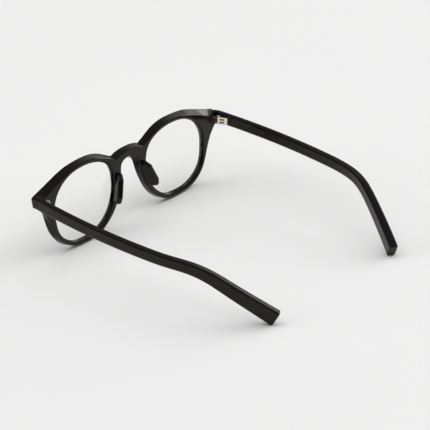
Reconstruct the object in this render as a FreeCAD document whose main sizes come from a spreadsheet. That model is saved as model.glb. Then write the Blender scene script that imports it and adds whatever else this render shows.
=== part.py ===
import FreeCAD, Part
import math
import os

import Sketcher
from FreeCAD import Placement, Rotation, Vector

# Acetate eyeglasses with a panto-shaped front, glued nose pads and five-knuckle hinges.
# Frame: +X is the wearer's left, -Y is forward, +Z is up, and the glasses rest on Z = 0 on the lower
# rims and on the temple tips. Every left piece is modelled and its right twin is its mirror image.

doc = FreeCAD.newDocument("eyeglasses")

# Driving dimensions, in millimetres and degrees.
DIMENSIONS = {
    # the front: its foot stands front_set ahead of the origin, and its top leans forward
    "front_set": 66.625,
    "front_tilt": 4.37,
    "front_thickness": 3.9,
    "front_rounding": 0.6,
    "opening_rounding_rear": 1.1,
    "opening_rounding_front": 0.4,
    "half_width": 70.1,
    "bridge_top": 38.9,
    "bridge_top_rear": 38.1,
    "bridge_arch": 32.3,
    "bridge_arch_rear": 34.0,
    # the lens opening and the lens in its groove
    "lens_centre_side": 34.95,
    "lens_centre_up": 21.57,
    "opening_width": 44.5,
    "opening_height": 37.7,
    "groove_depth": 0.8,
    "lens_thickness": 1.8,
    "lens_curve": 250.0,
    "lens_vertex": 0.1,
    # the end piece: a swelling behind each end that holds the hinge, and the ledge the temple butts
    "swelling_inner": 63.4,
    "swelling_crest": 65.2,
    "swelling_outer": 67.5,
    "swelling_rear": 5.3,
    "swelling_top": 33.4,
    "swelling_bottom": 28.6,
    "swelling_taper_top": 0.2,
    "swelling_taper_bottom": 0.6,
    "ledge_inner": 66.9,
    "ledge_top": 35.75,
    "ledge_bottom": 29.9,
    "ledge_rear": 5.6,
    "ledge_rounding": 0.9,
    "swelling_rounding": 0.5,
    "seam_gap": 0.15,
    "seam_reach": 2.05,
    # nose pads, glued to the rear of the rims
    "pad_thickness": 3.1,
    "pad_splay": 24.0,
    "pad_slope": 17.5,
    "pad_top_side": 7.25,
    "pad_top_up": 27.6,
    "pad_length": 15.6,
    "pad_reach_top": 2.4,
    "pad_reach": 6.4,
    "pad_root": 2.0,
    "pad_rounding": 1.4,
    # hinges: five knuckles, three on the temple half and two on the front half
    "pivot_side": 66.15,
    "pivot_back": 5.15,
    "pivot_up": 32.3,
    "rear_face_back": 2.85,
    "knuckle_pitch": 0.82,
    "knuckle_play": 0.06,
    "barrel_radius": 1.0,
    "screw_radius": 0.55,
    "screw_play": 0.05,
    "screw_head_radius": 1.0,
    "screw_head_height": 0.45,
    "screw_slot_width": 0.3,
    "screw_slot_depth": 0.22,
    "screw_turn": 35.0,
    "screw_fit": 0.01,
    "leaf_neck": 1.9,
    "leaf_sink": 2.6,
    "foot_width": 3.6,
    "foot_thickness": 0.9,
    "foot_height": 2.7,
    "wedge_length": 4.75,
    "wedge_neck": 0.6,
    "web_length": 1.5,
    "plate_set": 1.65,
    "plate_thickness": 0.8,
    "plate_length": 7.6,
    "plate_lead": 0.9,
    # temples: a bowed bar that bends down and inward behind the ear
    "temple_side": 68.76,
    "temple_back": 2.12,
    "temple_up": 33.08,
    "temple_length": 143.6,
    "temple_pitch": 4.1,
    "temple_drop": 26.95,
    "drop_middle": 99.6,
    "drop_length": 21.2,
    "temple_yaw": -7.0,
    "temple_bow": 16.5,
    "temple_wrap": 14.7,
    "wrap_middle": 89.5,
    "wrap_length": 29.2,
    "temple_height": 6.0,
    "temple_height_bend": 5.7,
    "temple_height_tip": 7.9,
    "temple_thickness": 3.2,
    "temple_thickness_bend": 3.9,
    "temple_thickness_tip": 4.6,
    "temple_rounding": 0.9,
    "bend_start": 92.0,
    "tip_easing": 0.5,
    "butt_easing": 0.25,
    # core wire inside each temple
    "wire_radius": 0.6,
    "wire_start": 16.0,
    "wire_end": 136.0,
}

# Lens shape as fractions of the half width and half height of the opening, from the temporal end
# over the top to the nose and back along the bottom.
LENS_SHAPE = [
    (1.0, 0.0),
    (0.86, 0.58),
    (0.45, 0.915),
    (0.0, 1.0),
    (-0.46, 0.94),
    (-0.91, 0.62),
    (-1.0, 0.02),
    (-0.815, -0.545),
    (-0.445, -0.9),
    (0.0, -1.0),
    (0.46, -0.93),
    (0.87, -0.585),
]

# Outline of the front at its front face and at its rear face, one half of it, as offsets from the
# lens centre. The brow runs from the valley beside the bridge to the end piece, and the rim runs
# from the end piece round the lens to the arch of the bridge.
FRONT_EDGE = {
    "bridge": (-29.6, 17.0),
    "brow": [
        (-24.6, 15.6),
        (-21.0, 17.3),
        (-14.4, 20.5),
        (-7.2, 22.3),
        (2.0, 22.5),
        (11.4, 21.5),
        (20.5, 18.8),
        (29.6, 15.8),
        (34.0, 14.4),
    ],
    "end": [(35.1, 13.4), (34.6, 8.7)],
    "rim": [
        (31.4, 6.2),
        (29.0, 3.7),
        (27.7, 0.2),
        (25.6, -6.8),
        (21.6, -13.2),
        (16.1, -18.1),
        (9.0, -20.8),
        (1.0, -21.6),
        (-8.0, -20.8),
        (-15.0, -17.7),
        (-21.8, -11.2),
        (-26.4, -2.6),
        (-28.9, 4.9),
        (-30.6, 9.2),
    ],
}
REAR_EDGE = {
    "bridge": (-29.4, 15.9),
    "brow": [
        (-24.2, 14.4),
        (-21.9, 15.8),
        (-16.5, 18.1),
        (-8.4, 20.8),
        (-0.5, 21.3),
        (6.0, 20.7),
        (13.8, 18.6),
        (21.7, 15.9),
        (26.8, 13.8),
        (29.4, 13.2),
        (33.6, 13.9),
    ],
    "end": [(34.8, 13.0), (34.2, 7.9)],
    "rim": [
        (31.3, 5.3),
        (28.9, 2.5),
        (27.0, -0.5),
        (24.4, -6.2),
        (21.4, -12.3),
        (17.0, -16.9),
        (10.5, -20.2),
        (2.5, -21.2),
        (-7.0, -21.0),
        (-14.3, -17.7),
        (-21.8, -11.0),
        (-25.9, -3.6),
        (-27.8, 3.8),
        (-28.9, 10.2),
    ],
}

# Rear edge of a nose pad as fractions of its reach and of its length, from the top down.
PAD_EDGE = [(0.78, 0.2), (1.0, 0.78), (0.87, 1.0)]

# Even steps along the temple at which its section is set, and the stride along its line in mm.
TEMPLE_STEPS = 18
STRIDE = 0.25

# Even turns in which a lofted edge is rounded.
ROUNDING_STEPS = 3


# ---------------------------------------------------------------- the sheet and the helpers

sheet = doc.addObject("Spreadsheet::Sheet", "Sizes")
for row, (alias, number) in enumerate(DIMENSIONS.items(), start=1):
    sheet.set(f"A{row}", alias.replace("_", " "))
    sheet.set(f"B{row}", str(number))
    sheet.setAlias(f"B{row}", alias)
doc.recompute()


def size(alias):
    """The number in the sheet's cell of that name."""
    return float(sheet.get(alias))


def bind(target, **formulas):
    """Ties properties to the sheet; a double underscore stands for the dot in a property's path."""
    for path, formula in formulas.items():
        target.setExpression(path.replace("__", "."), formula)


def primitive(kind, name, **formulas):
    solid = doc.addObject("Part::" + kind, name)
    bind(solid, **formulas)
    return solid


def fuse(name, *pieces):
    joined = doc.addObject("Part::MultiFuse", name)
    joined.Shapes = list(pieces)
    return joined


def cut(name, base, *tools):
    tool = tools[0] if len(tools) == 1 else fuse(name + "_tools", *tools)
    result = doc.addObject("Part::Cut", name)
    result.Base = base
    result.Tool = tool
    return result


def rounded(name, block):
    """A copy of a block with all its edges rounded, by the radius in the sheet's cell of that name."""
    doc.recompute()
    radius = size(name)
    soft = doc.addObject("Part::Fillet", name)
    soft.Base = block
    soft.Edges = [(number, radius, radius) for number in range(1, len(block.Shape.Edges) + 1)]
    return soft


def mirrored(name, source):
    twin = doc.addObject("Part::Mirroring", name)
    twin.Source = source
    twin.Normal = Vector(1, 0, 0)
    return twin


def plane_of(body, role):
    return next(item for item in body.Origin.OriginFeatures if item.Role == role)


def add_sketch(body, name, role, offset=None):
    sketch = body.newObject("Sketcher::SketchObject", name)
    sketch.AttachmentSupport = (plane_of(body, role), [""])
    sketch.MapMode = "FlatFace"
    if offset:
        sketch.AttachmentOffset = offset
    return sketch


def smooth(points, closed=False):
    curve = Part.BSplineCurve()
    curve.interpolate(Points=points, PeriodicFlag=closed)
    return curve


def loft(body, name, sections, ruled=False, kind="AdditiveLoft"):
    skin = body.newObject("PartDesign::" + kind, name)
    skin.Profile = sections[0]
    skin.Sections = sections[1:]
    skin.Ruled = ruled
    return skin


def rounded_rectangle(sketch, width, height, radius):
    """A rectangle about the sketch's origin, with its width, height and corner radius as data."""
    side, top = width / 2, height / 2
    corners = [(side, -top, 270), (side, top, 0), (-side, top, 90), (-side, -top, 180)]
    centres = []
    for x, y, start in corners:
        centre = Vector(math.copysign(side - radius, x), math.copysign(top - radius, y), 0)
        circle = Part.Circle(centre, Vector(0, 0, 1), radius)
        centres.append(centre)
        sketch.addGeometry(Part.ArcOfCircle(circle, math.radians(start), math.radians(start + 90)))
    for index, centre in enumerate(centres):
        following = centres[(index + 1) % 4]
        outward = Vector([(1, 0), (0, 1), (-1, 0), (0, -1)][index] + (0,)) * radius
        sketch.addGeometry(Part.LineSegment(centre + outward, following + outward))
    for index in range(4):
        line, before, after = index + 4, index, (index + 1) % 4
        sketch.addConstraint(Sketcher.Constraint("Tangent", before, 2, line, 1))
        sketch.addConstraint(Sketcher.Constraint("Tangent", line, 2, after, 1))
        sketch.addConstraint(Sketcher.Constraint("Horizontal" if index % 2 else "Vertical", line))
    for index in range(1, 4):
        sketch.addConstraint(Sketcher.Constraint("Equal", 0, index))
    sketch.addConstraint(Sketcher.Constraint("Symmetric", 0, 3, 2, 3, -1, 1))
    measures = [
        ("corner", Sketcher.Constraint("Radius", 0, radius)),
        ("width", Sketcher.Constraint("DistanceX", 6, 1, 4, 1, width)),
        ("height", Sketcher.Constraint("DistanceY", 7, 1, 5, 1, height)),
    ]
    for name, constraint in measures:
        sketch.renameConstraint(sketch.addConstraint(constraint), name)


# ---------------------------------------------------------------- where things stand

FRONT_PLACE = {
    "Placement__Base__y": "-Sizes.front_set",
    "Placement__Rotation__Axis__x": "1",
    "Placement__Rotation__Axis__y": "0",
    "Placement__Rotation__Axis__z": "0",
    "Placement__Rotation__Angle": "Sizes.front_tilt",
}


def lens_point(across, up, margin=0.0):
    """A point of the lens shape, grown by a margin all round, in the plane of the front."""
    half_width = size("opening_width") / 2 + margin
    half_height = size("opening_height") / 2 + margin
    return Vector(
        size("lens_centre_side") + across * half_width,
        size("lens_centre_up") + up * half_height,
        0,
    )


def at_depth(depth):
    """Sketches on the front's XZ plane face forward, so a depth behind the face is negative."""
    return Placement(Vector(0, 0, -depth), Rotation())


# ---------------------------------------------------------------- lenses


def make_lens():
    """A meniscus demo lens: the lens shape plus the groove's depth, cut from a spherical shell."""
    body = doc.addObject("PartDesign::Body", "lens_blank")
    outline = add_sketch(body, "lens_outline", "XZ_Plane")
    margin = size("groove_depth")
    outline.addGeometry(smooth([lens_point(x, z, margin) for x, z in LENS_SHAPE], closed=True))
    blank = body.newObject("PartDesign::Pad", "lens_prism")
    blank.Profile = outline
    blank.Reversed = True
    bind(blank, Length="Sizes.front_thickness")
    centre = {
        "Placement__Base__x": "Sizes.lens_centre_side",
        "Placement__Base__y": "Sizes.lens_vertex + Sizes.lens_curve",
        "Placement__Base__z": "Sizes.lens_centre_up",
    }
    outer = primitive("Sphere", "lens_outer_sphere", Radius="Sizes.lens_curve", **centre)
    inner = primitive(
        "Sphere", "lens_inner_sphere", Radius="Sizes.lens_curve - Sizes.lens_thickness", **centre
    )
    shell = cut("lens_shell", outer, inner)
    lens = doc.addObject("Part::Common", "lens_left")
    lens.Base = body
    lens.Tool = shell
    bind(lens, **FRONT_PLACE)
    return lens


# ---------------------------------------------------------------- the front


def inset(points, amount):
    """The corners of a closed outline moved inward, square to both of their sides."""
    moved = []
    for index, point in enumerate(points):
        before = (point - points[index - 1]).normalize()
        after = (points[(index + 1) % len(points)] - point).normalize()
        inward = Vector(before.y + after.y, -before.x - after.x, 0)
        moved.append(point + amount / (1 + before.dot(after)) * inward)
    return moved


def front_outline(sketch, edge, crest, arch, amount):
    """One outline, inset by an amount, as eight curves: brows, ends, the bridge's top and the rims."""
    centre = Vector(size("lens_centre_side"), size("lens_centre_up"), 0)
    valley, brow, end, rim = ([edge["bridge"]], edge["brow"], edge["end"], edge["rim"])
    half = [centre + Vector(x, z, 0) for x, z in valley + brow + end + rim]
    twin = [Vector(-point.x, point.y, 0) for point in reversed(half)]
    points = inset([Vector(0, crest, 0)] + half + [Vector(0, arch, 0)] + twin, amount)
    first = len(valley) + 1
    last = first + len(brow) - 1
    corner = last + len(end)
    total = len(points)
    marks = [first, last, last + 1, corner, total - corner, total - last - 1, total - last]
    for start, stop in zip(marks, marks[1:]):
        stretch = points[start : stop + 1]
        straight = len(stretch) == 2
        sketch.addGeometry(Part.LineSegment(*stretch) if straight else smooth(stretch))
    sketch.addGeometry(smooth(points[total - last : total - first + 1]))
    sketch.addGeometry(smooth(points[total - first :] + points[: first + 1]))


def edge_steps(radius):
    """Depth and inset of the sections that make a rounded edge, from the face to the full outline."""
    for number in range(ROUNDING_STEPS + 1):
        turn = math.pi / 2 * number / ROUNDING_STEPS
        yield radius * (1 - math.cos(turn)), radius * (1 - math.sin(turn))


def make_seam():
    """The room for the temple's front end, parallel to its butt face and a small gap ahead of it."""
    height, thickness = temple_section(0)
    room = primitive(
        "Box",
        "seam_left",
        Length="Sizes.temple_thickness + Sizes.seam_reach",
        Width="2 * Sizes.temple_height",
        Height="Sizes.ledge_rear",
    )
    corner = Vector(-thickness, -height, -size("seam_gap"))
    room.Placement = temple_station(0) * Placement(corner, Rotation())
    return room


def cut_opening(body, side, name):
    """A lens opening, flared at both faces by the rounding of its edges."""
    front, rear = size("opening_rounding_front"), size("opening_rounding_rear")
    thickness = size("front_thickness")
    levels = [(-front, front)] + list(edge_steps(front))
    levels += [(thickness - depth, margin) for depth, margin in edge_steps(rear)][::-1]
    levels.append((thickness + rear, rear))
    sections = []
    for number, (depth, margin) in enumerate(levels):
        outline = add_sketch(body, f"opening_{name}_{number}", "XZ_Plane", at_depth(depth))
        points = [lens_point(x, z, margin) for x, z in LENS_SHAPE]
        outline.addGeometry(smooth([Vector(side * p.x, p.y, 0) for p in points], closed=True))
        sections.append(outline)
    loft(body, f"opening_{name}", sections, ruled=True, kind="SubtractiveLoft")


def make_front(lens, hinge):
    """The acetate front: a slab whose rear outline is drawn in, with end blocks and openings."""
    body = doc.addObject("PartDesign::Body", "front_blank")
    thickness = size("front_thickness")
    front_steps, rear_steps = [], []
    for number, (depth, amount) in enumerate(edge_steps(size("front_rounding"))):
        face = add_sketch(body, f"front_outline_{number}", "XZ_Plane", at_depth(depth))
        front_outline(face, FRONT_EDGE, size("bridge_top"), size("bridge_arch"), amount)
        front_steps.append(face)
        back = add_sketch(body, f"rear_outline_{number}", "XZ_Plane", at_depth(thickness - depth))
        front_outline(back, REAR_EDGE, size("bridge_top_rear"), size("bridge_arch_rear"), amount)
        rear_steps.append(back)
    loft(body, "front_slab", front_steps + rear_steps[::-1], ruled=True)
    for side, name in ((1, "left"), (-1, "right")):
        cut_opening(body, side, name)
    bind(body, **FRONT_PLACE)
    ledge = primitive(
        "Box",
        "ledge_left",
        Length="Sizes.half_width - Sizes.ledge_inner",
        Width="Sizes.ledge_rear - Sizes.front_thickness / 2",
        Height="Sizes.ledge_top - Sizes.ledge_bottom",
        Placement__Base__x="Sizes.ledge_inner",
        Placement__Base__y="Sizes.front_thickness / 2",
        Placement__Base__z="Sizes.ledge_bottom",
    )
    swelling = primitive(
        "Wedge",
        "swelling_left",
        Xmin="Sizes.swelling_inner",
        Xmax="Sizes.swelling_outer",
        Ymin="Sizes.front_thickness / 2",
        Ymax="Sizes.swelling_rear",
        Zmin="Sizes.swelling_bottom",
        Zmax="Sizes.swelling_top",
        X2min="Sizes.swelling_crest",
        X2max="Sizes.swelling_outer",
        Z2min="Sizes.swelling_bottom + Sizes.swelling_taper_bottom",
        Z2max="Sizes.swelling_top - Sizes.swelling_taper_top",
    )
    left_end = fuse("left_end", rounded("ledge_rounding", ledge), rounded("swelling_rounding", swelling))
    blocks = fuse("end_blocks", left_end, mirrored("right_end", left_end))
    bind(blocks, **FRONT_PLACE)
    solid = fuse("front_solid", body, blocks)
    seam = make_seam()
    cutters = [lens, hinge, seam]
    twins = [mirrored(f"{cutter.Name}_twin", cutter) for cutter in cutters]
    return cut("front_frame", solid, *cutters, *twins)


# ---------------------------------------------------------------- nose pads


def make_pad():
    """A fin that stands off the rear of the rim: its side profile padded, rounded and cut flush."""
    body = doc.addObject("PartDesign::Body", "pad_blank")
    profile = add_sketch(body, "pad_profile", "YZ_Plane")
    length, reach, root = size("pad_length"), size("pad_reach"), -size("pad_root")
    edge = [Vector(out * reach, -down * length, 0) for out, down in PAD_EDGE]
    top = [Vector(root, 0, 0), Vector(size("pad_reach_top"), 0, 0)]
    points = top + edge + [Vector(root, -length, 0)]
    for index, point in enumerate(points):
        profile.addGeometry(Part.LineSegment(point, points[(index + 1) % len(points)]))
    for index in range(len(points)):
        following = (index + 1) % len(points)
        profile.addConstraint(Sketcher.Constraint("Coincident", index, 2, following, 1))
    fin = body.newObject("PartDesign::Pad", "pad_fin")
    fin.Profile = profile
    bind(fin, Length="Sizes.pad_thickness")
    doc.recompute()
    rounded = body.newObject("PartDesign::Fillet", "pad_rounding")
    outer_edges = [
        f"Edge{index}"
        for index, edge in enumerate(fin.Shape.Edges, start=1)
        if edge.BoundBox.YMax > root / 2
    ]
    rounded.Base = (fin, outer_edges)
    bind(rounded, Radius="Sizes.pad_rounding")
    slope = Rotation(Vector(0, 1, 0), -size("pad_slope"))
    splay = Rotation(Vector(0, 0, 1), -size("pad_splay"))
    foot = Vector(size("pad_top_side"), size("front_thickness"), size("pad_top_up"))
    body.Placement = Placement(foot, slope * splay)
    room = primitive(
        "Box",
        "room_behind_rim",
        Length="Sizes.half_width",
        Width="4 * Sizes.pad_reach",
        Height="Sizes.bridge_top",
        Placement__Base__y="Sizes.front_thickness",
    )
    pad = doc.addObject("Part::Common", "nose_pad_left")
    pad.Base = body
    pad.Tool = room
    bind(pad, **FRONT_PLACE)
    return pad


# ---------------------------------------------------------------- hinges

# The hinge is drawn about its own pivot: X outward, Y to the rear, Z along the screw.
PIVOT = {
    "Placement__Base__x": "Sizes.pivot_side",
    "Placement__Base__y": "Sizes.pivot_back - Sizes.front_set",
    "Placement__Base__z": "Sizes.pivot_up",
}
HINGE_HALF_HEIGHT = "2.5 * Sizes.knuckle_pitch"


def knuckle(name, level, radius, thickness):
    """One round knuckle, its middle that many pitches above the middle of the hinge."""
    return primitive(
        "Cylinder",
        name,
        Radius=radius,
        Height=thickness,
        Placement__Base__z=f"{level} * Sizes.knuckle_pitch - ({thickness}) / 2",
    )


def bore(name, radius):
    return primitive(
        "Cylinder",
        name,
        Radius=radius,
        Height="6 * Sizes.knuckle_pitch",
        Placement__Base__z="-3 * Sizes.knuckle_pitch",
    )


def hinge_axis(solid, yaw):
    """Stands a hinge piece on its pivot, leaning with the temple's pitch and turned by a yaw."""
    lean = Rotation(Vector(1, 0, 0), -size("temple_pitch"))
    place = Vector(size("pivot_side"), size("pivot_back") - size("front_set"), size("pivot_up"))
    solid.Placement = Placement(place, lean * Rotation(Vector(0, 0, 1), yaw))
    bind(solid, **PIVOT)


def make_front_hinge():
    """Two leaves with round knuckles, and the foot that is sunk into the acetate."""
    thickness = "Sizes.knuckle_pitch - Sizes.knuckle_play"
    leaves = []
    for level in (-1, 1):
        name = "upper" if level > 0 else "lower"
        leaves.append(knuckle(f"front_knuckle_{name}", level, "Sizes.barrel_radius", thickness))
        leaves.append(
            primitive(
                "Box",
                f"front_leaf_{name}",
                Length="Sizes.leaf_neck",
                Width="Sizes.pivot_back - Sizes.rear_face_back + Sizes.leaf_sink",
                Height=thickness,
                Placement__Base__x="-Sizes.barrel_radius",
                Placement__Base__y="Sizes.rear_face_back - Sizes.pivot_back - Sizes.leaf_sink",
                Placement__Base__z=f"{level} * Sizes.knuckle_pitch - ({thickness}) / 2",
            )
        )
    foot = primitive(
        "Box",
        "front_foot",
        Length="Sizes.foot_width",
        Width="Sizes.foot_thickness",
        Height="Sizes.foot_height",
        Placement__Base__x="-Sizes.barrel_radius + Sizes.leaf_neck / 2 - Sizes.foot_width / 2",
        Placement__Base__y="Sizes.rear_face_back - Sizes.pivot_back - Sizes.leaf_sink",
        Placement__Base__z="-Sizes.foot_height / 2",
    )
    solid = fuse("front_hinge_solid", *leaves, foot)
    hole = bore("front_bore", "Sizes.screw_radius + Sizes.screw_play")
    hinge = cut("hinge_front_left", solid, hole)
    hinge_axis(hinge, 0)
    return hinge


def make_temple_hinge():
    """Three knuckles on a wedge that runs out to the temple, with two slots for the front's leaves."""
    barrel = primitive(
        "Cylinder",
        "temple_barrel",
        Radius="Sizes.barrel_radius",
        Height="5 * Sizes.knuckle_pitch",
        Placement__Base__z="-" + HINGE_HALF_HEIGHT,
    )
    wedge = primitive(
        "Wedge",
        "temple_wedge",
        Xmin="-Sizes.barrel_radius",
        Xmax="Sizes.plate_set + Sizes.plate_thickness",
        Ymin="0",
        Ymax="Sizes.wedge_length",
        Zmin="-" + HINGE_HALF_HEIGHT,
        Zmax=HINGE_HALF_HEIGHT,
        X2min="Sizes.plate_set - Sizes.wedge_neck",
        X2max="Sizes.plate_set + Sizes.plate_thickness",
        Z2min="-" + HINGE_HALF_HEIGHT,
        Z2max=HINGE_HALF_HEIGHT,
    )
    plate = primitive(
        "Box",
        "temple_plate",
        Length="Sizes.plate_thickness",
        Width="Sizes.plate_length + Sizes.plate_lead",
        Height="5 * Sizes.knuckle_pitch",
        Placement__Base__x="Sizes.plate_set",
        Placement__Base__y="-Sizes.plate_lead",
        Placement__Base__z="-" + HINGE_HALF_HEIGHT,
    )
    slots = []
    for level in (-1, 1):
        slots.append(
            primitive(
                "Box",
                f"temple_slot_{'upper' if level > 0 else 'lower'}",
                Length="2 * Sizes.plate_set",
                Width="2 * Sizes.barrel_radius + Sizes.wedge_length - Sizes.web_length",
                Height="Sizes.knuckle_pitch + Sizes.knuckle_play",
                Placement__Base__x="-Sizes.plate_set",
                Placement__Base__y="-2 * Sizes.barrel_radius",
                Placement__Base__z=(
                    f"{level} * Sizes.knuckle_pitch - (Sizes.knuckle_pitch + Sizes.knuckle_play) / 2"
                ),
            )
        )
    solid = fuse("temple_hinge_solid", barrel, wedge, plate)
    hole = bore("temple_bore", "Sizes.screw_radius + Sizes.screw_fit")
    hinge = cut("hinge_temple_left", solid, *slots, hole)
    hinge_axis(hinge, size("temple_yaw"))
    return hinge


def make_screw():
    """A slotted pan-head screw: its head lies on the top knuckle, its end is flush below."""
    shank = primitive(
        "Cylinder",
        "screw_shank",
        Radius="Sizes.screw_radius",
        Height="5 * Sizes.knuckle_pitch",
        Placement__Base__z="-" + HINGE_HALF_HEIGHT,
    )
    head = primitive(
        "Cylinder",
        "screw_head",
        Radius="Sizes.screw_head_radius",
        Height="Sizes.screw_head_height",
        Placement__Base__z=HINGE_HALF_HEIGHT,
    )
    slot = primitive(
        "Box",
        "screw_slot",
        Length="4 * Sizes.screw_head_radius",
        Width="Sizes.screw_slot_width",
        Height="Sizes.screw_slot_depth",
        Placement__Base__x="-2 * Sizes.screw_head_radius",
        Placement__Base__y="-Sizes.screw_slot_width / 2",
        Placement__Base__z=f"{HINGE_HALF_HEIGHT} + Sizes.screw_head_height - Sizes.screw_slot_depth",
    )
    screw = cut("hinge_screw_left", fuse("screw_solid", shank, head), slot)
    hinge_axis(screw, size("screw_turn"))
    return screw


# ---------------------------------------------------------------- temples


def ramp(distance, middle, length):
    """0 before a bend, 1 after it, and a straight rise through it."""
    return min(max((distance - middle) / length + 0.5, 0.0), 1.0)


def temple_heading(distance):
    """Downward pitch and inward yaw of the temple's centre line at a distance along it."""
    pitch = size("temple_pitch") + size("temple_drop") * ramp(
        distance, size("drop_middle"), size("drop_length")
    )
    yaw = size("temple_yaw") + size("temple_bow") * distance / 100
    yaw += size("temple_wrap") * ramp(distance, size("wrap_middle"), size("wrap_length"))
    return pitch, yaw


def temple_station(distance):
    """The placement of a cross-section: X across the temple, Y up it and Z back along it."""
    point = Vector(size("temple_side"), size("temple_back") - size("front_set"), size("temple_up"))
    travelled = 0.0
    while travelled < distance:
        stride = min(STRIDE, distance - travelled)
        pitch, yaw = (math.radians(angle) for angle in temple_heading(travelled + stride / 2))
        point += stride * Vector(
            -math.sin(yaw) * math.cos(pitch), math.cos(yaw) * math.cos(pitch), -math.sin(pitch)
        )
        travelled += stride
    pitch, yaw = temple_heading(distance)
    turn = Rotation(Vector(0, 0, 1), yaw) * Rotation(Vector(1, 0, 0), -pitch)
    return Placement(point, turn * Rotation(Vector(1, 0, 0), -90) * Rotation(Vector(0, 0, 1), 180))


def temple_section(distance):
    """Height and thickness: even taper to the bend, then a flare to the tip."""
    bend, end = size("bend_start"), size("temple_length")

    def between(start, middle, finish):
        if distance < bend:
            return start + (middle - start) * distance / bend
        return middle + (finish - middle) * (distance - bend) / (end - bend)

    height = between(
        size("temple_height"), size("temple_height_bend"), size("temple_height_tip")
    )
    thickness = between(
        size("temple_thickness"), size("temple_thickness_bend"), size("temple_thickness_tip")
    )
    return height, thickness


def make_wire():
    """The nickel-silver core wire that stiffens the temple from behind the hinge to the tip."""
    body = doc.addObject("PartDesign::Body", "core_wire_left")
    start, end = size("wire_start"), size("wire_end")
    sections = []
    for number in range(TEMPLE_STEPS + 1):
        distance = start + (end - start) * number / TEMPLE_STEPS
        ring = add_sketch(body, f"wire_section_{number}", "XY_Plane", temple_station(distance))
        ring.addGeometry(Part.Circle(Vector(), Vector(0, 0, 1), size("wire_radius")))
        ring.addConstraint(Sketcher.Constraint("Coincident", 0, 3, -1, 1))
        radius = ring.addConstraint(Sketcher.Constraint("Radius", 0, size("wire_radius")))
        ring.renameConstraint(radius, "radius")
        bind(ring, Constraints__radius="Sizes.wire_radius")
        sections.append(ring)
    loft(body, "wire_loft", sections)
    return body


def temple_outline(body, name, distance, shrink=0.0):
    height, thickness = temple_section(distance)
    outline = add_sketch(body, name, "XY_Plane", temple_station(distance))
    rounded_rectangle(outline, thickness - shrink, height - shrink, size("temple_rounding"))
    bind(outline, Constraints__corner="Sizes.temple_rounding")
    return outline


def make_temple(hinge, wire):
    """The acetate temple: rounded sections along its line, with the hinge and the wire let in."""
    body = doc.addObject("PartDesign::Body", "temple_blank")
    end, easing = size("temple_length"), size("tip_easing")
    start, shoulder = size("butt_easing"), end - easing
    butt = temple_outline(body, "butt_face", 0, 2 * start)
    collar = temple_outline(body, "butt_collar", start)
    loft(body, "temple_butt", [butt, collar], ruled=True)
    sections = [
        temple_outline(
            body, f"temple_section_{number}", start + (shoulder - start) * number / TEMPLE_STEPS
        )
        for number in range(TEMPLE_STEPS + 1)
    ]
    loft(body, "temple_bar", sections)
    foot = temple_outline(body, "tip_shoulder", shoulder)
    cap = temple_outline(body, "tip_end", end, 2 * easing)
    loft(body, "temple_tip", [foot, cap], ruled=True)
    return cut("temple_left", body, hinge, wire)


# ---------------------------------------------------------------- the whole object

lens_left = make_lens()
hinge_front_left = make_front_hinge()
hinge_temple_left = make_temple_hinge()
hinge_screw_left = make_screw()
nose_pad_left = make_pad()
core_wire_left = make_wire()
temple_left = make_temple(hinge_temple_left, core_wire_left)
nodes = [make_front(lens_left, hinge_front_left)]
for left in (
    lens_left,
    hinge_front_left,
    hinge_temple_left,
    hinge_screw_left,
    nose_pad_left,
    core_wire_left,
    temple_left,
):
    nodes += [left, mirrored(left.Name.replace("left", "right"), left)]
doc.recompute()

for item in doc.Objects:
    if "Invalid" in item.State or "Error" in item.State:
        raise RuntimeError(f"{item.Label} could not be computed: {item.State}")
for node in nodes:
    if node.Shape.isNull() or not node.Shape.isValid():
        raise RuntimeError(f"{node.Label} has no valid shape")
    print(f"{node.Label:20} {len(node.Shape.Solids)} solid(s), {node.Shape.Volume:9.2f} mm3")

os.makedirs("parts", exist_ok=True)
for node in nodes:
    node.Shape.exportStep(f"parts/{node.Label}.step")
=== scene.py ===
"""Acetate eyeglasses: tumble-polished acetate, meniscus lenses and satin nickel hinges.

The CAD nodes give every place and size, and most are shown as they are with a finish of their own.
The lenses are built here as thin meniscus shells with an eased edge.
"""
import math

import bmesh
import bpy
import numpy as np
from mathutils import Matrix, Vector
from mathutils.geometry import convex_hull_2d


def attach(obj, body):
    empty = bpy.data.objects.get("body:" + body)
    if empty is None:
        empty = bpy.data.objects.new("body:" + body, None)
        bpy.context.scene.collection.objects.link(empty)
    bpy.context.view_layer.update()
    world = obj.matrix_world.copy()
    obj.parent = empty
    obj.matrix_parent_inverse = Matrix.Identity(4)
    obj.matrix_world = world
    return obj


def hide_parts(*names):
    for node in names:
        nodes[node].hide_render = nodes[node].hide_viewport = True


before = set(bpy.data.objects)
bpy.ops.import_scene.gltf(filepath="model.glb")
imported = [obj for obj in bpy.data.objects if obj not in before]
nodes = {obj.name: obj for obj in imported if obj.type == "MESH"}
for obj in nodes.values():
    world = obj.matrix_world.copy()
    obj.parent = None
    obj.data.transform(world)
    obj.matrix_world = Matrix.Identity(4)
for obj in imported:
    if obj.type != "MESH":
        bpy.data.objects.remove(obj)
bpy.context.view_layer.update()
MM = 0.001

# The camera stands behind and above the wearer's left, as the photographer did.
CAMERA_PLACE = Vector((1.1144, 0.9260, 0.7172))
CAMERA_AZIMUTH = math.radians(50.001)
CAMERA_ELEVATION = math.radians(25.677)
CAMERA_ROLL = math.radians(-0.671)
CAMERA_LENS = 269.42
CAMERA_CLIP = (0.05, 20)
SENSOR_WIDTH = 36.0

# The front leans forward, and its lenses are thin shells cut from spheres.
FRONT_TILT = math.radians(4.37)
LENS_CURVE = 250 * MM
LENS_POINTS = 180
LENS_RINGS = 14
LENS_BEVEL = 0.25 * MM

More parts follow.
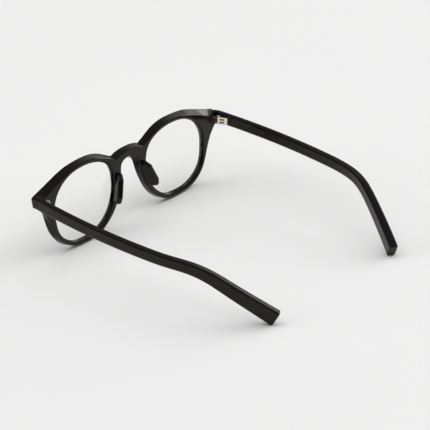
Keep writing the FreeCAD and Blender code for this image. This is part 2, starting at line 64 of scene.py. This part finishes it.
# Easing of the sharp edges on the metal, and the angle from which an edge counts as sharp.
HINGE_EASING = 0.06 * MM
SCREW_EASING = 0.04 * MM
SHARP_EDGE = math.radians(50)

# The scales of the noises, per metre, and the depths of the bumps.
ACETATE_CLOUDS = 55
ACETATE_POLISH = 240
ACETATE_MARKS = 1500
ACETATE_MARK_DEPTH = 0.04 * MM
LENS_HAZE = 90
METAL_TARNISH = 320
METAL_BRUSHING_DEPTH = 0.02 * MM
FLOOR_MOTTLE = 3

ACETATE_IOR = 1.48
ACETATE_SHINE = 0.3
ACETATE_SHINE_TINT = (1.0, 0.965, 0.86, 1.0)
LENS_IOR = 1.46

# Near-black acetate tints, darker and lighter, and the ranges of its roughness.
FRONT_TINTS = ((0.0020, 0.0017, 0.0007), (0.0048, 0.0040, 0.0016))
TEMPLE_TINTS = ((0.0022, 0.0018, 0.0009), (0.0050, 0.0040, 0.0018))
PAD_TINTS = ((0.0022, 0.0018, 0.0016), (0.0045, 0.0037, 0.0030))
FRONT_GLOSS = (0.12, 0.2)
TEMPLE_GLOSS = (0.18, 0.28)
PAD_GLOSS = (0.1, 0.18)

# The room as the polish mirrors it: dark behind the camera, lighter above, pale to one side.
# A glow's range is the cosine from its side at which it starts and at which it is full.
ROOM_PALE_SIDE = (-0.93, 0.1, 0.354)
ROOM_DARK = 0.03
ROOM_ABOVE = 0.33
ROOM_PALE = 0.95
ABOVE_GLOW = (0.1, 0.8)
BESIDE_GLOW = (0.76, 0.97)
FLOOR_REACH = 9.0
FLOOR_DROP = 0.1 * MM
TABLE = (0, 0, 0)
FILL_SIZE = (2.0, 1.5)


# ---------------------------------------------------------------- node graphs


class Graph:
    """A material's node tree, with short calls for the nodes that the finishes share."""

    def __init__(self, name):
        self.material = bpy.data.materials.new(name)
        self.material.use_nodes = True
        self.tree = self.material.node_tree
        self.surface = self.tree.nodes["Principled BSDF"]
        self.place = self.tree.nodes.new("ShaderNodeTexCoord").outputs["Object"]

    def set(self, **sockets):
        for label, value in sockets.items():
            self.surface.inputs[label.replace("_", " ")].default_value = value

    def noise(self, scale, detail=3.0, stretch=(1, 1, 1)):
        mapping = self.tree.nodes.new("ShaderNodeMapping")
        mapping.inputs["Scale"].default_value = stretch
        self.tree.links.new(self.place, mapping.inputs["Vector"])
        noise = self.tree.nodes.new("ShaderNodeTexNoise")
        noise.inputs["Scale"].default_value = scale
        noise.inputs["Detail"].default_value = detail
        self.tree.links.new(mapping.outputs["Vector"], noise.inputs["Vector"])
        return noise.outputs["Fac"]

    def ramp(self, factor, stops):
        ramp = self.tree.nodes.new("ShaderNodeValToRGB")
        elements = ramp.color_ramp.elements
        while len(elements) < len(stops):
            elements.new(0.5)
        for element, (place, colour) in zip(elements, stops):
            element.position = place
            element.color = (*colour, 1.0)
        self.tree.links.new(factor, ramp.inputs["Fac"])
        return ramp.outputs["Color"]

    def spread(self, factor, low, high):
        """Stretches the middle of a noise to the range from low to high."""
        reach = self.tree.nodes.new("ShaderNodeMapRange")
        reach.inputs["From Min"].default_value = 0.3
        reach.inputs["From Max"].default_value = 0.7
        reach.inputs["To Min"].default_value = low
        reach.inputs["To Max"].default_value = high
        self.tree.links.new(factor, reach.inputs["Value"])
        return reach.outputs["Result"]

    def feed(self, output, label):
        self.tree.links.new(output, self.surface.inputs[label])

    def bump(self, height, strength, distance):
        bump = self.tree.nodes.new("ShaderNodeBump")
        bump.inputs["Strength"].default_value = strength
        bump.inputs["Distance"].default_value = distance
        self.tree.links.new(height, bump.inputs["Height"])
        self.feed(bump.outputs["Normal"], "Normal")


def acetate(name, tints, gloss):
    """Near-black cellulose acetate: warm clouding, a polished skin and hairline handling marks."""
    graph = Graph(name)
    dark, light = tints
    cloud = graph.noise(ACETATE_CLOUDS, 4.0)
    graph.feed(graph.ramp(cloud, [(0.35, dark), (0.68, light)]), "Base Color")
    graph.feed(graph.spread(graph.noise(ACETATE_POLISH, 5.0), *gloss), "Roughness")
    graph.set(IOR=ACETATE_IOR, Specular_IOR_Level=ACETATE_SHINE, Specular_Tint=ACETATE_SHINE_TINT)
    graph.bump(graph.noise(ACETATE_MARKS, 4.0), 0.08, ACETATE_MARK_DEPTH)
    return graph.material


def lens_glass(name):
    """Clear plastic of a demo lens, with the faintest green-yellow cast."""
    graph = Graph(name)
    graph.set(Base_Color=(0.985, 0.99, 0.975, 1), IOR=LENS_IOR, Transmission_Weight=1.0)
    graph.feed(graph.spread(graph.noise(LENS_HAZE, 2.0), 0.0, 0.02), "Roughness")
    return graph.material


def nickel(name, colour, gloss, grain):
    """Pale nickel-silver with fine brushing along the piece and slight tarnish."""
    graph = Graph(name)
    worn = tuple(channel * 0.93 for channel in colour)
    tarnish = graph.noise(METAL_TARNISH, 4.0)
    graph.feed(graph.ramp(tarnish, [(0.36, worn), (0.62, colour)]), "Base Color")
    brushed = graph.noise(grain, 3.0, (0.15, 1.0, 1.0))
    graph.feed(graph.spread(brushed, *gloss), "Roughness")
    graph.set(Metallic=1.0)
    graph.bump(brushed, 0.05, METAL_BRUSHING_DEPTH)
    return graph.material


FRONT_ACETATE = acetate("acetate_front", FRONT_TINTS, FRONT_GLOSS)
TEMPLE_ACETATE = acetate("acetate_temple", TEMPLE_TINTS, TEMPLE_GLOSS)
PAD_ACETATE = acetate("acetate_pad", PAD_TINTS, PAD_GLOSS)
LENS = lens_glass("demo_lens")
HINGE_METAL = nickel("hinge_nickel", (0.88, 0.83, 0.71), (0.28, 0.4), 1600)
SCREW_METAL = nickel("screw_steel", (0.86, 0.82, 0.72), (0.24, 0.38), 3200)
CORE_METAL = nickel("core_wire_nickel", (0.72, 0.68, 0.58), (0.3, 0.5), 1800)


# ---------------------------------------------------------------- pieces


def add_piece(name, mesh, material, body, slot, *replaced):
    """Shows a mesh as a piece that rides on a body and stands for CAD nodes."""
    mesh.materials.clear()
    mesh.materials.append(material)
    piece = bpy.data.objects.new(name, mesh)
    bpy.context.scene.collection.objects.link(piece)
    for polygon in mesh.polygons:
        polygon.use_smooth = True
    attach(piece, body)
    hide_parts(*replaced)


def lens_outline(node, count):
    """The lens's edge in the front's plane, as points at even steps, and its points' depths."""
    back = Matrix.Rotation(-FRONT_TILT, 3, "X")
    flat = [back @ vertex.co for vertex in nodes[node].data.vertices]
    plane = [(point.x, point.z) for point in flat]
    hull = [Vector(plane[index]) for index in convex_hull_2d(plane)]
    loop = hull + [hull[0]]
    travelled = np.cumsum([0.0] + [(b - a).length for a, b in zip(loop, loop[1:])])
    stations = np.linspace(0, travelled[-1], count, endpoint=False)
    across = np.interp(stations, travelled, [point.x for point in loop])
    up = np.interp(stations, travelled, [point.y for point in loop])
    return np.column_stack([across, up]), [point.y for point in flat]


def make_lens(side):
    """Two spherical surfaces joined by a bevelled edge, from the outline of the CAD lens."""
    node = f"lens_{side}"
    outline, depths = lens_outline(node, LENS_POINTS)
    centre = (outline.max(0) + outline.min(0)) / 2
    vertex = min(depths)
    reach = np.linalg.norm(outline - centre, axis=1).max()
    sag = LENS_CURVE - math.sqrt(LENS_CURVE**2 - reach**2)
    thickness = max(depths) - vertex - sag
    lean = Matrix.Rotation(FRONT_TILT, 3, "X")

    def surface_depth(across, up, curve, start):
        return start + curve - math.sqrt(curve**2 - across**2 - up**2)

    shell = bmesh.new()

    def ring(share, curve, start, inset=0.0, sink=0.0):
        made = []
        for point in outline:
            offset = (point - centre) * share
            length = np.linalg.norm(offset)
            offset = offset * (length - inset) / length
            depth = surface_depth(offset[0], offset[1], curve, start) + sink
            place = Vector((centre[0] + offset[0], depth, centre[1] + offset[1]))
            made.append(shell.verts.new(lean @ place))
        return made

    inner_curve = LENS_CURVE - thickness
    front_rings = [ring(step / LENS_RINGS, LENS_CURVE, vertex) for step in range(1, LENS_RINGS)]
    front_rings.append(ring(1.0, LENS_CURVE, vertex, inset=LENS_BEVEL))
    edge = [
        ring(1.0, LENS_CURVE, vertex, sink=LENS_BEVEL),
        ring(1.0, inner_curve, vertex + thickness, sink=-LENS_BEVEL),
    ]
    rear_rings = [ring(1.0, inner_curve, vertex + thickness, inset=LENS_BEVEL)]
    rear_rings += [
        ring(step / LENS_RINGS, inner_curve, vertex + thickness)
        for step in range(LENS_RINGS - 1, 0, -1)
    ]
    rings = front_rings + edge + rear_rings
    for before, after in zip(rings, rings[1:]):
        for index in range(LENS_POINTS):
            following = (index + 1) % LENS_POINTS
            shell.faces.new((before[index], before[following], after[following], after[index]))
    for loop, curve, start in (
        (rings[0], LENS_CURVE, vertex),
        (rings[-1], inner_curve, vertex + thickness),
    ):
        middle = shell.verts.new(lean @ Vector((centre[0], start, centre[1])))
        for index in range(LENS_POINTS):
            shell.faces.new((loop[index], loop[(index + 1) % LENS_POINTS], middle))
    bmesh.ops.recalc_face_normals(shell, faces=shell.faces)
    mesh = bpy.data.meshes.new(node + "_shell")
    shell.to_mesh(mesh)
    shell.free()
    return mesh


def dress(node, material, easing=0.0):
    """Gives a CAD node its finish and, with an easing, a small bevel on its sharp edges."""
    data = nodes[node].data
    data.materials.clear()
    data.materials.append(material)
    if easing:
        bevel = nodes[node].modifiers.new("easing", "BEVEL")
        bevel.width = easing
        bevel.segments = 2
        bevel.limit_method = "ANGLE"
        bevel.angle_limit = SHARP_EDGE


dress("front_frame", FRONT_ACETATE)
for side in ("left", "right"):
    dress(f"temple_{side}", TEMPLE_ACETATE)
    dress(f"nose_pad_{side}", PAD_ACETATE)
    dress(f"hinge_front_{side}", HINGE_METAL, HINGE_EASING)
    dress(f"hinge_temple_{side}", HINGE_METAL, HINGE_EASING)
    dress(f"hinge_screw_{side}", SCREW_METAL, SCREW_EASING)
    dress(f"core_wire_{side}", CORE_METAL)
    add_piece(
        f"clear_lens_{side}", make_lens(side), LENS, "front", "demo_lens", f"lens_{side}"
    )


# ---------------------------------------------------------------- studio


def floor_material():
    """Matt white card, very slightly uneven."""
    graph = Graph("studio_sweep")
    tones = [(0.3, (0.80, 0.80, 0.80)), (0.7, (0.815, 0.815, 0.812))]
    graph.feed(graph.ramp(graph.noise(FLOOR_MOTTLE, 2.0), tones), "Base Color")
    graph.set(Roughness=0.7, Specular_IOR_Level=0.2)
    return graph.material


def make_floor():
    """A wide pale sheet just under the object."""
    sheet = bmesh.new()
    bmesh.ops.create_grid(sheet, x_segments=8, y_segments=8, size=FLOOR_REACH)
    mesh = bpy.data.meshes.new("studio_floor")
    sheet.to_mesh(mesh)
    sheet.free()
    mesh.materials.append(floor_material())
    floor = bpy.data.objects.new("studio_floor", mesh)
    floor.location.z = -FLOOR_DROP
    bpy.context.scene.collection.objects.link(floor)


def area_light(name, place, target, size, power, in_reflections=True):
    """A rectangular softbox aimed at a point; kept out of reflections, it adds no highlight."""
    lamp = bpy.data.lights.new(name, "AREA")
    lamp.shape = "RECTANGLE"
    lamp.size, lamp.size_y = size
    lamp.energy = power
    light = bpy.data.objects.new(name, lamp)
    light.location = place
    light.visible_glossy = in_reflections
    aim = Vector(target) - Vector(place)
    light.rotation_euler = aim.to_track_quat("-Z", "Y").to_euler()
    bpy.context.scene.collection.objects.link(light)


def make_world():
    """A dim room that is lighter overhead and pale on one side of the table."""
    world = bpy.data.worlds.new("studio")
    bpy.context.scene.world = world
    world.use_nodes = True
    tree = world.node_tree
    place = tree.nodes.new("ShaderNodeTexCoord").outputs["Generated"]

    def glow(side, limits, low, high):
        towards = tree.nodes.new("ShaderNodeVectorMath")
        towards.operation = "DOT_PRODUCT"
        towards.inputs[1].default_value = side
        tree.links.new(place, towards.inputs[0])
        reach = tree.nodes.new("ShaderNodeMapRange")
        reach.interpolation_type = "SMOOTHSTEP"
        start, full = limits
        values = {"From Min": start, "From Max": full, "To Min": low, "To Max": high}
        for label, value in values.items():
            reach.inputs[label].default_value = value
        tree.links.new(towards.outputs["Value"], reach.inputs["Value"])
        return reach.outputs["Result"]

    total = tree.nodes.new("ShaderNodeMath")
    total.operation = "ADD"
    above = glow((0, 0, 1), ABOVE_GLOW, ROOM_DARK, ROOM_ABOVE)
    beside = glow(ROOM_PALE_SIDE, BESIDE_GLOW, 0.0, ROOM_PALE)
    for output, socket in zip((above, beside), total.inputs):
        tree.links.new(output, socket)
    background = tree.nodes["Background"]
    background.inputs["Color"].default_value = (1.0, 0.998, 0.99, 1.0)
    tree.links.new(total.outputs["Value"], background.inputs["Strength"])


def make_camera():
    """A long lens at the photograph's viewing angle."""
    data = bpy.data.cameras.new("camera")
    data.sensor_width = SENSOR_WIDTH
    data.lens = CAMERA_LENS
    data.clip_start, data.clip_end = CAMERA_CLIP
    camera = bpy.data.objects.new("camera", data)
    back = Vector(
        (
            math.sin(CAMERA_AZIMUTH) * math.cos(CAMERA_ELEVATION),
            math.cos(CAMERA_AZIMUTH) * math.cos(CAMERA_ELEVATION),
            math.sin(CAMERA_ELEVATION),
        )
    )
    right = (-back).cross(Vector((0, 0, 1))).normalized()
    up = right.cross(-back)
    turned_right = math.cos(CAMERA_ROLL) * right + math.sin(CAMERA_ROLL) * up
    turned_up = -math.sin(CAMERA_ROLL) * right + math.cos(CAMERA_ROLL) * up
    camera.matrix_world = Matrix.Translation(CAMERA_PLACE) @ Matrix(
        (turned_right, turned_up, back)
    ).transposed().to_4x4()
    bpy.context.scene.collection.objects.link(camera)
    bpy.context.scene.camera = camera


make_floor()
make_world()
area_light("ceiling_fill", (0.1, 0.1, 2.2), (0.1, 0.1, 0), (3.6, 3.6), 47.5, in_reflections=False)
area_light("left_fill", (-2.0, 1.3, 1.1), TABLE, FILL_SIZE, 18.0, in_reflections=False)
area_light("right_fill", (1.7, -1.7, 1.1), TABLE, FILL_SIZE, 17.0, in_reflections=False)
area_light("side_softbox", (-1.41, 0.14, 0.56), (0, 0, 0.03), (0.42, 0.3), 1.7)
make_camera()
bpy.context.scene.view_settings.view_transform = "Standard"
